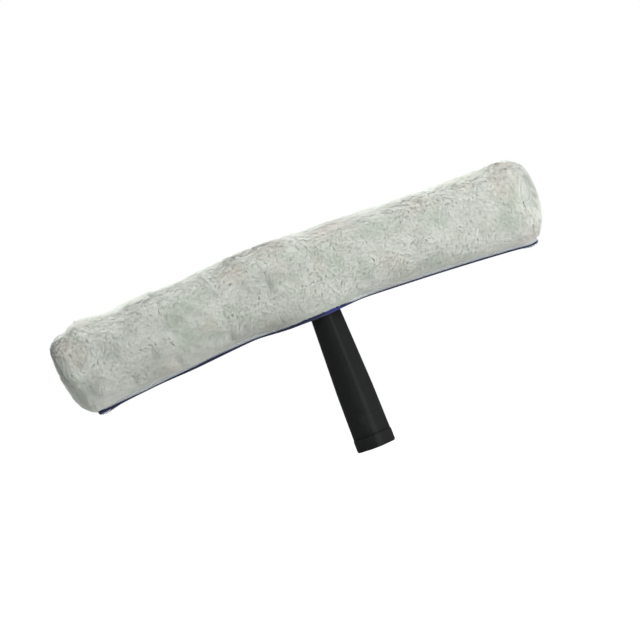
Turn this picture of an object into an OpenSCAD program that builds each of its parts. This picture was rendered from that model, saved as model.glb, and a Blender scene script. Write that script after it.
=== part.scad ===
// Window scrubber: a fixed T-bar in a high-pile washing sleeve.
// X runs along the bar, Z runs up from the mouth of the pole socket, and the front faces -Y.
// All sizes are in millimetres.

/* [Handle] */
// Length of the handle from the socket's mouth to the hem
grip_length = 98.9; // [80:0.1:130]
// Width across the flats just above the collar
grip_low_width = 26.9; // [26.4:0.1:30]
// Width across the flats at the socket's inner end
grip_mid_width = 25.9; // [25.4:0.1:29]
// Width across the flats under the hem
grip_neck_width = 21.6; // [20:0.1:24]
// Share of the width that each narrow flat takes
grip_flat_share = 0.24; // [0.22:0.01:0.35]
// Rounding of the grip's eight long edges
grip_edge_round = 1.6; // [0.5:0.1:2.4]
// Diameter of the pole socket
socket_d = 18.6; // [16:0.1:19]
// Depth of the pole socket
socket_depth = 42; // [30:0.5:55]
// Diameter of the hollow core above the socket
core_d = 12; // [6:0.5:14]
// Material left between the hollow core and the saddle
core_roof = 14; // [12:0.5:20]

/* [End collar] */
// Width of the collar across the flats
collar_width = 27.7; // [27.4:0.1:31]
// Length of the collar along the handle
collar_length = 9; // [5:0.5:14]
// Wall of the socket inside the collar
collar_seat_wall = 1.6; // [1.2:0.1:1.8]
// Rounding of the collar's outer end edge
collar_lip_round = 1.2; // [0.5:0.1:2]

/* [Cross bar] */
// Length of the bar over its end plugs
bar_length = 300; // [250:1:420]
// Depth of the bar, front to back
bar_depth = 20; // [18:0.5:24]
// Height of the bar
bar_height = 22; // [20:0.5:26]
// Wall of the bar
bar_wall = 2.2; // [1.6:0.1:3]
// Rounding of the bar's long edges
bar_round = 5; // [3:0.5:7]
// Length of a water slot
slot_length = 14; // [8:0.5:16]
// Height of a water slot
slot_height = 3.6; // [2.5:0.1:3.8]
// Distance from one water slot to the next
slot_pitch = 21; // [18:0.5:30]
// Solid length of bar between the core block and the first water slot
slot_margin = 6; // [3:0.5:12]

/* [End plugs] */
// Thickness of an end plug's outer plate
plug_plate = 2; // [1.2:0.1:4]
// Length of an end plug inside the bar
plug_reach = 12; // [6:0.5:20]
// Wall of an end plug's hollow insert
plug_wall = 1.8; // [1.2:0.1:3]

/* [Saddle and screws] */
// Length of the saddle along the bar
saddle_length = 60; // [52:1:68]
// Wall of the saddle
saddle_wall = 2.3; // [1.8:0.1:3]
// Thickness of the ribs under the saddle
rib_thickness = 3; // [2:0.1:4]
// Height of the ribs under the saddle
rib_height = 16; // [10:0.5:18]
// Length of the block inside the bar
core_block_length = 62; // [52:1:70]
// Gap between the grip and a screw boss
boss_gap = 0.7; // [0.3:0.1:2]
// Diameter of a screw
screw_d = 4; // [3:0.1:5]
// Diameter of a screw's head
screw_head_d = 7.6; // [7:0.1:8.6]
// Depth to which a screw bites into its boss
screw_bite = 12; // [8:0.5:14]
// Wall of a screw boss
boss_wall = 2.5; // [2:0.1:3]

/* [Sleeve] */
// Slack of the pocket past the bar's left end
left_slack = 21.1; // [2:0.1:30]
// Slack of the pocket past the bar's right end
right_slack = 1.6; // [1.3:0.1:30]
// Thickness of the pile cloth round the pocket
pile_thickness = 13.2; // [10:0.1:18]
// Thickness of the pile cloth at the pocket's ends
end_thickness = 15; // [12:0.5:18]
// Length over which the sleeve's left end rounds off
left_end_reach = 23; // [18:0.5:24]
// Length over which the sleeve's right end rounds off
right_end_reach = 22; // [18:0.5:24]
// Squareness of the left end: 2 is a quarter ellipse, and more is squarer
left_end_power = 3; // [2:0.1:3.5]
// Squareness of the right end
right_end_power = 2.5; // [2:0.1:3.5]
// Squareness of the flaps' lower corners at both ends
low_end_power = 2; // [2:0.1:3.5]
// Half depth of the blunt middle of an end
end_half_depth = 6; // [5:0.5:10]
// Rise of the left end's blunt middle above the hinge line
left_end_rise = 14; // [6:0.5:16]
// Rise of the right end's blunt middle above the hinge line
right_end_rise = 7; // [6:0.5:16]
// Fall of the blunt middle of an end below the hinge line
end_fall = 9; // [7:0.5:12]
// Distance of the pile's highest part to the left of the handle
crown_offset = 43; // [20:1:60]
// Half length of the pile's highest part
crown_half_length = 10; // [0:1:20]
// Drop of the sleeve's top from its highest part to the left
left_sag = 5; // [0:0.5:7]
// Length over which the top drops to the left
left_sag_run = 95; // [60:1:110]
// Drop of the sleeve's top from its highest part to the right
right_sag = 6.3; // [0:0.1:7]
// Length over which the top drops to the right
right_sag_run = 140; // [60:1:160]
// Swell of the slack left end over the sagging top
slack_swell = 2.5; // [0:0.5:4]
// Length over which the slack end swells
slack_swell_run = 15; // [10:1:40]
// Distance from the sleeve's left end to the fold in its slack
fold_inset = 13.6; // [11:0.1:20]
// Depth of the fold in the slack
fold_depth = 4.2; // [0:0.1:5]
// Half width of the fold in the slack
fold_half_width = 5; // [3:0.5:8]
// Height of the flap hinge line below the saddle
hinge_drop = 1.5; // [0.8:0.1:3]

/* [Flaps and hems] */
// Drop of the hem from the handle to the sleeve's ends
hem_sag = 11; // [0:0.5:12]
// Height of the hem
hem_height = 2; // [1.5:0.1:3]
// Thickness of the flap's bound edge
edge_thickness = 2.4; // [1.8:0.1:3.5]
// Distance from the sleeve's left end to the hem's left end
hem_left_inset = 16; // [12:0.5:20]
// Distance from the sleeve's right end to the hem's right end
hem_right_inset = 12.6; // [10:0.2:20]
// Height over which a flap's inside slopes in under the bar
flap_slope = 6.5; // [5:0.5:8]
// Length past the handle's side over which the flaps stand fully off
part_margin = 2.2; // [1:0.1:4]
// Length over which the flaps close again
part_run = 23; // [20:0.5:30]

/* [Hook and loop tapes] */
// Width of a tape
tape_width = 11; // [8:0.5:12]
// Thickness of a tape
tape_thickness = 1.6; // [1:0.1:2.2]
// Distance from a tape's upper edge to where the flap's inside slopes
tape_upper_inset = 1; // [0.5:0.1:2]
// Distance from a tape's lower edge to the hem
tape_lower_inset = 0.6; // [0.3:0.1:2]
// Distance from where the flaps close to a tape's inner end
tape_inner_inset = 4; // [1:0.5:12]
// Distance from where the sleeve's end rounds off to a tape's outer end
tape_outer_inset = 1; // [0.5:0.5:15]

/* [End seams] */
// Thickness of a seam inside the sleeve's end
seam_thickness = 0.9; // [0.6:0.1:1]
// Width of a seam inside the sleeve's end
seam_width = 4; // [2:0.5:6]

/* [Clearances] */
// Gap between the saddle and the bar
saddle_gap = 0.2; // [0.1:0.05:0.4]
// Gap between the sleeve's pocket and the saddle or the bar's top
pocket_gap = 0.5; // [0.35:0.05:1]
// Gap between what sits inside the bar and the bar
insert_gap = 0.15; // [0.05:0.05:0.3]
// Gap round a screw in a hole that it passes through
screw_gap = 0.3; // [0.1:0.05:0.5]
// Gap round the collar's seat
seat_gap = 0.05; // [0.02:0.01:0.1]
// Gap between a flap and the body above it, and between the hook and loop tapes
cloth_gap = 0.3; // [0.2:0.05:0.5]
// Gap between a flap and the handle
handle_gap = 0.5; // [0.35:0.05:1.5]

/* [Hidden] */
$fn = 64;
// How far a cutting shape runs past the face that it opens
past = 1;
// Steps in a quarter turn of a rounded corner or end
quarter_steps = 5;

// Heights, from the hem up past the tapes, the hinge line and the saddle to the bar
tape_bottom = grip_length + hem_height + tape_lower_inset;
slope_bottom = tape_bottom + tape_width + tape_upper_inset;
hinge_z = slope_bottom + flap_slope;
saddle_bottom = hinge_z + hinge_drop;
saddle_floor = saddle_bottom + saddle_wall;
bar_bottom = saddle_floor + saddle_gap;
bar_axis = bar_bottom + bar_height / 2;
bar_top = bar_bottom + bar_height;

// Other sizes of the T-bar
saddle_half_depth = bar_depth / 2 + saddle_gap + saddle_wall;
tube_length = bar_length - 2 * plug_plate;
bar_inner_depth = bar_depth - 2 * bar_wall;
bar_inner_height = bar_height - 2 * bar_wall;
bar_inner_round = bar_round - bar_wall;
collar_seat_d = socket_d + 2 * collar_seat_wall;
screw_sink = (screw_head_d - screw_d) / 2;
boss_d = screw_d + 2 * boss_wall;
boss_bottom = saddle_floor - screw_bite - boss_wall;
screw_offset = (grip_neck_width + boss_d) / 2 + boss_gap;
slot_start = core_block_length / 2 + slot_margin + slot_length / 2;
slot_limit = tube_length / 2 - plug_reach - slot_length / 2;
slot_count = 1 + floor((slot_limit - slot_start) / slot_pitch);

// Places of the sleeve
pocket_left = -bar_length / 2 - left_slack;
pocket_right = bar_length / 2 + right_slack;
sleeve_left = pocket_left - end_thickness;
sleeve_right = pocket_right + end_thickness;
sleeve_middle = (sleeve_left + sleeve_right) / 2;
sleeve_half = (sleeve_right - sleeve_left) / 2;
slack_start = -crown_offset - crown_half_length - left_sag_run;
pocket_half = saddle_half_depth + pocket_gap;
pocket_top = bar_top + pocket_gap;
pile_half = pocket_half + pile_thickness;
body_bottom = hinge_z + cloth_gap / 2;
flap_top = hinge_z - cloth_gap / 2;
closed_half = tape_thickness + cloth_gap / 2;
parted_half = grip_neck_width / 2 + handle_gap;
hem_left = sleeve_left + hem_left_inset;
hem_right = sleeve_right - hem_right_inset;
part_full = grip_neck_width / 2 + part_margin;
part_end = part_full + part_run;
tape_start = part_end + tape_inner_inset;

PLASTIC = [0.13, 0.13, 0.135];
INNER_PLASTIC = [0.25, 0.26, 0.27];
STEEL = [0.7, 0.7, 0.72];
PILE = [0.86, 0.87, 0.83];
HEM_BLUE = [0.1, 0.13, 0.42];
TAPE = [0.8, 0.83, 0.9];

// Increasing list of the values in v, without repeats
function sorted(v) = len(v) < 2 ? v :
    let (p = v[floor(len(v) / 2)])
    concat(sorted([for (x = v) if (x < p) x]), [p], sorted([for (x = v) if (x > p) x]));

function clamp(x, low, high) = max(low, min(high, x));
function smooth(t) = let (c = clamp(t, 0, 1)) c * c * (3 - 2 * c);
function unit(v) = v / norm(v);

// Outline of a rectangle with round corners, centred on the origin
function round_rectangle(w, h, r) = [
    for (corner = [[1, 1, 0], [-1, 1, 90], [-1, -1, 180], [1, -1, 270]])
        for (i = [0:quarter_steps])
            let (a = corner[2] + 90 * i / quarter_steps)
            [corner[0] * (w / 2 - r) + r * cos(a), corner[1] * (h / 2 - r) + r * sin(a)]
];

// Outline of the grip: eight faces, four of them narrow, with every edge rounded
function grip_outline(width) =
    let (half = width / 2, flat = grip_flat_share * half)
    let (eight = [
        [flat, -half], [half, -flat], [half, flat], [flat, half],
        [-flat, half], [-half, flat], [-half, -flat], [-flat, -half]
    ])
    [
        for (i = [0:7])
            let (
                at = eight[i],
                a = at + grip_edge_round * unit(eight[(i + 7) % 8] - at),
                b = at + grip_edge_round * unit(eight[(i + 1) % 8] - at)
            )
            each [a, (a + b + 2 * at) / 4, b]
    ];

// Closed solid through a row of outlines with equal counts of points
module loft(outlines) {
    count = len(outlines[0]);
    last = (len(outlines) - 1) * count;
    polyhedron(
        points = [for (outline = outlines) each outline],
        faces = concat(
            [[for (j = [0:count - 1]) j]],
            [
                for (i = [0:len(outlines) - 2])
                    for (j = [0:count - 1])
                        let (a = i * count + j, b = i * count + (j + 1) % count)
                        each [[a, a + count, b + count], [a, b + count, b]]
            ],
            [[for (j = [count - 1:-1:0]) last + j]]
        )
    );
}

// Solid with the given outline in Y and Z, from x0 to x1
module along_bar(x0, x1, outline) {
    translate([x0, 0, 0]) rotate([90, 0, 90]) linear_extrude(x1 - x0) polygon(outline);
}

function at_height(outline, z) = [for (p = outline) [p[0], p[1], z]];
function shifted(outline, z) = [for (p = outline) [p[0], p[1] + z]];

// Outlines of the bar's outside and inside in Y and Z, each made smaller by a gap
function bar_outside(gap = 0) =
    shifted(round_rectangle(bar_depth - 2 * gap, bar_height - 2 * gap, bar_round - gap), bar_axis);
function bar_inside(gap = 0) =
    shifted(
        round_rectangle(bar_inner_depth - 2 * gap, bar_inner_height - 2 * gap, bar_inner_round - gap),
        bar_axis
    );

module at_each_screw() {
    for (side = [-1, 1]) translate([side * screw_offset, 0, 0]) children();
}

// Countersunk screw with its head's face at the bar's top, made larger by a gap for its hole
module screw_shape(gap, length) {
    translate([0, 0, bar_top - length]) cylinder(h = length, d = screw_d + 2 * gap);
    translate([0, 0, bar_top - screw_sink])
        cylinder(h = screw_sink, d1 = screw_d + 2 * gap, d2 = screw_head_d + 2 * gap);
}

module grip_body() {
    loft([
        at_height(grip_outline(grip_low_width), collar_length),
        at_height(grip_outline(grip_mid_width), socket_depth),
        at_height(grip_outline(grip_neck_width), grip_length),
        at_height(grip_outline(grip_neck_width), saddle_floor)
    ]);
    cylinder(h = collar_length + past, d = collar_seat_d);
}

// Cradle that holds the lower half of the bar, with ribs and screw bosses below
module saddle() {
    half = saddle_length / 2;
    along_bar(-half, half, [
        for (p = shifted(
            round_rectangle(2 * saddle_half_depth, bar_height + 2 * (saddle_gap + saddle_wall), bar_round),
            bar_axis
        )) [p[0], min(p[1], bar_axis)]
    ]);
    translate([0, rib_thickness / 2, 0]) rotate([90, 0, 0]) linear_extrude(rib_thickness)
        polygon([
            [-half, saddle_floor], [-half, saddle_bottom], [0, saddle_bottom - rib_height],
            [half, saddle_bottom], [half, saddle_floor]
        ]);
    at_each_screw() translate([0, 0, boss_bottom])
        cylinder(h = saddle_floor - boss_bottom, d = boss_d);
}

module handle() {
    color(PLASTIC) difference() {
        union() {
            grip_body();
            saddle();
        }
        along_bar(-saddle_length, saddle_length, bar_outside(-saddle_gap));
        translate([0, 0, -past]) cylinder(h = socket_depth + past, d = socket_d);
        cylinder(h = saddle_floor - core_roof, d = core_d);
        at_each_screw() translate([0, 0, saddle_floor - screw_bite])
            cylinder(h = screw_bite + saddle_wall, d = screw_d);
    }
}

module end_collar() {
    edge = collar_width - 2 * collar_lip_round;
    color(PLASTIC) difference() {
        loft([
            at_height(grip_outline(edge), 0),
            at_height(grip_outline((edge + 3 * collar_width) / 4), collar_lip_round / 2),
            at_height(grip_outline(collar_width), collar_lip_round),
            at_height(grip_outline(collar_width), collar_length)
        ]);
        translate([0, 0, -past])
            cylinder(h = collar_length + 2 * past, d = collar_seat_d + 2 * seat_gap);
    }
}

// Row of water slots through the front and rear walls of one half of the bar
module slots(side) {
    reach = (slot_length - slot_height) / 2;
    for (i = [0:slot_count - 1])
        translate([side * (slot_start + i * slot_pitch), bar_depth / 2 + past, bar_axis])
            rotate([90, 0, 0]) {
                for (end = [-reach, reach])
                    translate([end, 0, 0]) cylinder(h = bar_depth + 2 * past, d = slot_height);
                translate([-reach, -slot_height / 2, 0])
                    cube([2 * reach, slot_height, bar_depth + 2 * past]);
            }
}

module cross_bar() {
    half = tube_length / 2;
    color(PLASTIC) difference() {
        along_bar(-half, half, bar_outside());
        along_bar(-half - past, half + past, bar_inside());
        slots(-1);
        slots(1);
        at_each_screw() screw_shape(screw_gap, bar_height + past);
    }
}

module core_block() {
    color(INNER_PLASTIC) difference() {
        along_bar(-core_block_length / 2, core_block_length / 2, bar_inside(insert_gap));
        at_each_screw() screw_shape(screw_gap, bar_height);
    }
}

module end_plug(side) {
    face = bar_length / 2;
    seat = tube_length / 2;
    color(PLASTIC) mirror([side < 0 ? 1 : 0, 0, 0]) difference() {
        union() {
            along_bar(seat, face, bar_outside());
            along_bar(seat - plug_reach, seat, bar_inside(insert_gap));
        }
        along_bar(seat - plug_reach - past, seat, bar_inside(insert_gap + plug_wall));
    }
}

module left_end_plug() {
    end_plug(-1);
}

module right_end_plug() {
    end_plug(1);
}

module fixing_screws() {
    recess = [screw_head_d * 0.55, screw_d * 0.25, screw_sink * 0.7];
    color(STEEL) at_each_screw() difference() {
        screw_shape(0, bar_top - saddle_floor + screw_bite);
        for (turn = [0, 90])
            translate([0, 0, bar_top]) rotate([0, 0, turn])
                cube([recess[0], recess[1], 2 * recess[2]], center = true);
    }
}

// Fullness of the sleeve near an end: 1 where the end starts to round off, and 0 at its tip
function into_end(x) = x < sleeve_middle
    ? 1 - (x - sleeve_left) / left_end_reach
    : 1 - (sleeve_right - x) / right_end_reach;
function rounded(into, power) = pow(1 - pow(clamp(into, 0, 1), power), 1 / power);
function fullness(x) = rounded(into_end(x), x < sleeve_middle ? left_end_power : right_end_power);

function between(low, high, t) = low + (high - low) * t;
function drop(x, sag) = sag * pow((x - sleeve_middle) / sleeve_half, 2);

// Top of the pile along the bar: highest left of the handle, lower to both sides, swollen again over
// the slack at the left end, and folded in there
function crown_at(x) =
    pocket_top + pile_thickness
    - left_sag * smooth((-crown_offset - crown_half_length - x) / left_sag_run)
    - right_sag * smooth((x + crown_offset - crown_half_length) / right_sag_run)
    + slack_swell * smooth((slack_start - x) / slack_swell_run);
function fold_at(x) =
    fold_depth * (1 - smooth(abs(x - sleeve_left - fold_inset) / (2 * fold_half_width)));

// Half depth, top and bottom of the pile at a place along the bar
function pile_half_at(x) = between(end_half_depth, pile_half, fullness(x));
function pile_top_at(x) =
    between(
        hinge_z + (x < sleeve_middle ? left_end_rise : right_end_rise),
        crown_at(x) - fold_at(x), fullness(x)
    );
function flap_bottom_at(x) =
    between(
        hinge_z - end_fall,
        grip_length - drop(x, hem_sag) + hem_height, rounded(into_end(x), low_end_power)
    );

// Half gap between the closed flaps: wide at the handle, a tape's thickness along the tapes, and
// nothing but the cloth's own gap at the sleeve's ends
function flap_inside_at(x) =
    between(cloth_gap / 2, closed_half, fullness(x))
    + (parted_half - closed_half) * smooth((part_end - abs(x)) / (part_end - part_full));

// Places along the bar where the sleeve's cross-section is drawn
function end_steps(reach, power) =
    [for (i = [0:quarter_steps]) reach * (1 - pow(sin(90 * i / quarter_steps), 2 / power))];
fold_steps = [for (i = [-2:2]) fold_inset + fold_half_width * i];
part_steps = [for (i = [0:4]) between(part_full, part_end, i / 4)];
long_steps = 16;
STATIONS = sorted(concat(
    [for (s = end_steps(left_end_reach, left_end_power)) sleeve_left + s],
    [for (s = fold_steps) if (s > 0) sleeve_left + s],
    [for (s = end_steps(right_end_reach, right_end_power)) sleeve_right - s],
    [for (s = part_steps) each [-s, s]],
    [for (i = [1:long_steps - 1])
        let (x = between(sleeve_left + left_end_reach, sleeve_right - right_end_reach, i / long_steps))
        if (abs(x) > part_end) x],
    [hem_left, hem_right, 0]
));

// Upper half of the sleeve's outside, from the rear hinge line over the top to the front one
function body_outline(x) =
    let (half = pile_half_at(x), rise = pile_top_at(x) - body_bottom, fat = 0.8, steps = 12)
    [
        for (i = [0:steps])
            let (
                a = 180 * i / steps,
                side = i * 2 == steps ? 0 : sign(cos(a)),
                y = side * half * pow(abs(cos(a)), fat)
            )
            [x, y, body_bottom + (i % steps == 0 ? 0 : rise * pow(sin(a), fat))]
    ];

// Hollow of the sleeve that takes the bar and the saddle
module pocket() {
    depth = pocket_top - body_bottom + past;
    outline = shifted(
        round_rectangle(2 * pocket_half, 2 * depth, bar_round + pocket_gap),
        pocket_top - depth
    );
    along_bar(pocket_left, pocket_right, [for (p = outline) [p[0], max(p[1], body_bottom - past)]]);
}

module sleeve_body() {
    color(PILE) difference() {
        loft([for (x = STATIONS) body_outline(x)]);
        pocket();
    }
}

// Front flap's cross-section: down its outside, across the bound edge and up its inside
function flap_outline(x) =
    let (
        low = flap_bottom_at(x),
        inside = flap_inside_at(x),
        edge = inside + edge_thickness,
        outside = pile_half_at(x),
        shoulder = between(end_half_depth / 2, pocket_half, fullness(x)),
        steps = 6
    )
    concat(
        [for (i = [0:steps])
            let (a = 90 * i / steps)
            [x, -between(edge, outside, cos(a)), between(flap_top, low, sin(a))]],
        [[x, -inside, low], [x, -inside, slope_bottom], [x, -shoulder, flap_top]]
    );

module flap_shape() {
    color(PILE) loft([for (x = STATIONS) flap_outline(x)]);
}

module front_flap() {
    flap_shape();
}

module rear_flap() {
    mirror([0, 1, 0]) flap_shape();
}

// Front hem's cross-section, hung under the flap's bound edge
function hem_outline(x) =
    let (
        top = flap_bottom_at(x),
        inside = flap_inside_at(x),
        edge = inside + edge_thickness,
        low = top - hem_height,
        bevel = hem_height / 4
    )
    [
        [x, -inside, top], [x, -edge, top], [x, -edge, low + bevel],
        [x, -edge + bevel, low], [x, -inside - bevel, low], [x, -inside, low + bevel]
    ];

module hem_shape() {
    color(HEM_BLUE)
        loft([for (x = STATIONS) if (x >= hem_left && x <= hem_right) hem_outline(x)]);
}

module front_hem() {
    hem_shape();
}

module rear_hem() {
    mirror([0, 1, 0]) hem_shape();
}

// Tape on the inside of the front flap, from x0 to x1
module tape(x0, x1) {
    color(TAPE) translate([x0, -closed_half, tape_bottom])
        cube([x1 - x0, tape_thickness, tape_width]);
}

module left_hook_tape() {
    tape(sleeve_left + left_end_reach + tape_outer_inset, -tape_start);
}

module right_hook_tape() {
    tape(tape_start, sleeve_right - right_end_reach - tape_outer_inset);
}

module left_loop_tape() {
    mirror([0, 1, 0]) left_hook_tape();
}

module right_loop_tape() {
    mirror([0, 1, 0]) right_hook_tape();
}

// Seam on the inside of a pocket's end, with its left face at x0
module seam(x0) {
    color(HEM_BLUE) translate([x0, -seam_width / 2, body_bottom])
        cube([seam_thickness, seam_width, bar_axis - body_bottom]);
}

module left_end_seam() {
    seam(pocket_left);
}

module right_end_seam() {
    seam(pocket_right - seam_thickness);
}

handle();
end_collar();
cross_bar();
core_block();
left_end_plug();
right_end_plug();
fixing_screws();
sleeve_body();
left_end_seam();
right_end_seam();
front_flap();
rear_flap();
front_hem();
rear_hem();
left_hook_tape();
right_hook_tape();
left_loop_tape();
right_loop_tape();
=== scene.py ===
"""Window scrubber: a plastic T-bar in a high-pile washing sleeve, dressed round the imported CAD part.

Lengths are millimetres in the row frame, and MM turns them into Blender's metres.
"""

import math

import bpy
import numpy as np
from mathutils import Matrix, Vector
from mathutils.kdtree import KDTree


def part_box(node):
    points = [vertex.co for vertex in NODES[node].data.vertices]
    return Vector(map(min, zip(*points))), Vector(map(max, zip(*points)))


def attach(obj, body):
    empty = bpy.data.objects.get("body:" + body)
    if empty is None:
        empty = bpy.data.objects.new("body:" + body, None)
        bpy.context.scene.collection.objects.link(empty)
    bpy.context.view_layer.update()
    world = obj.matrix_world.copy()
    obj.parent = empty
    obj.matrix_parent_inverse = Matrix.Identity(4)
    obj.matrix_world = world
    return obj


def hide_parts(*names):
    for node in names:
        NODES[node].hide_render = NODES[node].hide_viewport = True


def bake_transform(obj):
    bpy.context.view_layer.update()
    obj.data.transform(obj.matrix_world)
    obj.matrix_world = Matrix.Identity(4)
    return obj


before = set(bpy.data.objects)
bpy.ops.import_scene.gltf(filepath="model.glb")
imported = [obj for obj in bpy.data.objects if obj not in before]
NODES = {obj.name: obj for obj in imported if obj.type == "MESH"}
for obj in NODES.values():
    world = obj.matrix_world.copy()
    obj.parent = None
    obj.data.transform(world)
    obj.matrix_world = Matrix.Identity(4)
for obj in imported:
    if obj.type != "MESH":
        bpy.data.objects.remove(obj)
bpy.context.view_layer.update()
MM = 0.001
SCENE = bpy.context.scene
SCENE.view_settings.view_transform = "Standard"


def node_box(name):
    """Lowest and highest corner of a CAD node in millimetres."""
    return [np.array(corner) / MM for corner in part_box(name)]


# Sizes that the looks share with the solids
BODY_LOW, BODY_HIGH = node_box("sleeve_body")
BAR_LOW, BAR_HIGH = node_box("cross_bar")
HEM_LOW, HEM_HIGH = node_box("front_hem")
COLLAR_LENGTH = node_box("end_collar")[1][2]
SLEEVE_LEFT, SLEEVE_RIGHT = BODY_LOW[0], BODY_HIGH[0]
HINGE_Z = BODY_LOW[2] - 0.15
SLOPE_BOTTOM = HINGE_Z - 6.5
BAR_AXIS = (BAR_LOW[2] + BAR_HIGH[2]) / 2
POCKET_LEFT, POCKET_RIGHT = SLEEVE_LEFT + 15, SLEEVE_RIGHT - 15
POCKET_HALF, POCKET_TOP = 13.0, BAR_HIGH[2] + 0.5
CLOSED_HALF, PARTED_HALF, PART_FULL, PART_END = 1.75, 11.3, 13.0, 36.0
HEM_LEFT, HEM_RIGHT = HEM_LOW[0], HEM_HIGH[0]
EDGE_THICKNESS = 2.4
ROLL = math.radians(21.2)
TURN = 2 * math.pi


# Shared helpers
WORD = 0xFFFFFFFF
PRIMES = np.array([73856093, 19349663, 83492791])
SEED_PRIME = 7919
SCRAMBLES = ((15, 2246822519), (13, 3266489917))


def between(low, high, t):
    return low + (high - low) * t


def smooth(t):
    t = np.clip(t, 0, 1)
    return t * t * (3 - 2 * t)


def unit(v):
    return v / np.maximum(np.linalg.norm(v, axis=-1, keepdims=True), 1e-9)


def xyz(x, y, z):
    """Points from their places along each axis, where each is a number or an array."""
    return np.stack(np.broadcast_arrays(x, y, z), -1)


def noise(points, size, seed):
    """Smooth noise from -1 to 1 at points, with bumps about size millimetres apart."""
    p = np.asarray(points, float).reshape(-1, 3) / size + 1000.0
    cell = np.floor(p).astype(np.int64)
    part = p - cell
    part = part * part * (3 - 2 * part)
    total = np.zeros(len(p))
    for corner in np.ndindex(2, 2, 2):
        at = cell + np.array(corner)
        key = (np.bitwise_xor.reduce(at * PRIMES, axis=1) ^ seed * SEED_PRIME) & WORD
        for shift, factor in SCRAMBLES:
            key = ((key ^ (key >> shift)) * factor) & WORD
        key ^= key >> 16
        weight = np.prod(np.where(np.array(corner) == 1, part, 1 - part), axis=1)
        total += weight * ((key & 0xFFFF) / 32767.5 - 1)
    return total.reshape(np.shape(points)[:-1])


def line(knots, blur=7.0):
    """A smooth function of the place along the bar through about these (place, value) knots."""
    xs = np.arange(-260.0, 260.0, 1.0)
    values = np.interp(xs, [k[0] for k in knots], [k[1] for k in knots])
    reach = np.arange(-3 * blur, 3 * blur + 1)
    bell = np.exp(-0.5 * (reach / blur) ** 2)
    padded = np.pad(values, len(reach) // 2, mode="edge")
    values = np.convolve(padded, bell / bell.sum(), mode="valid")
    return lambda x: np.interp(x, xs, values)


def mesh_piece(name, points, quads=(), tris=()):
    """An object from points in millimetres and faces as rows of point numbers."""
    quads = np.asarray(quads, np.int32).reshape(-1, 4)
    tris = np.asarray(tris, np.int32).reshape(-1, 3)
    me = bpy.data.meshes.new(name)
    me.vertices.add(len(points))
    me.vertices.foreach_set("co", (np.asarray(points, float) * MM).astype(np.float32).ravel())
    corners = np.concatenate([quads.ravel(), tris.ravel()])
    me.loops.add(len(corners))
    me.loops.foreach_set("vertex_index", corners)
    starts = np.concatenate([np.arange(len(quads)) * 4, quads.size + np.arange(len(tris)) * 3])
    me.polygons.add(len(starts))
    me.polygons.foreach_set("loop_start", starts.astype(np.int32))
    me.polygons.foreach_set("use_smooth", np.ones(len(starts), bool))
    me.update(calc_edges=True)
    ob = bpy.data.objects.new(name, me)
    SCENE.collection.objects.link(ob)
    return ob


def grid_quads(rows, columns, wrap=False):
    """Faces of a grid of rows by columns points, closed round its columns if wrap."""
    i, j = np.meshgrid(np.arange(rows - 1), np.arange(columns if wrap else columns - 1), indexing="ij")
    k = (j + 1) % columns
    low, high = i * columns, (i + 1) * columns
    return np.stack([low + j, high + j, high + k, low + k], -1).reshape(-1, 4)


def fan(ring, centre, flip=False):
    """Triangles from a closed ring of point numbers to a centre point."""
    ring = np.asarray(ring)
    after = np.roll(ring, -1)
    middle = np.full(len(ring), centre)
    return np.stack([after, ring, middle] if flip else [ring, after, middle], -1)


def put_attribute(ob, name, values):
    attribute = ob.data.attributes.new(name, "FLOAT", "POINT")
    attribute.data.foreach_set("value", np.asarray(values, np.float32).ravel())


def put_map(ob, corners):
    """A map for baking, from one (u, v) for each face corner."""
    layer = ob.data.uv_layers.new(name="OFBake")
    layer.data.foreach_set("uv", np.asarray(corners, np.float32).ravel())


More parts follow.
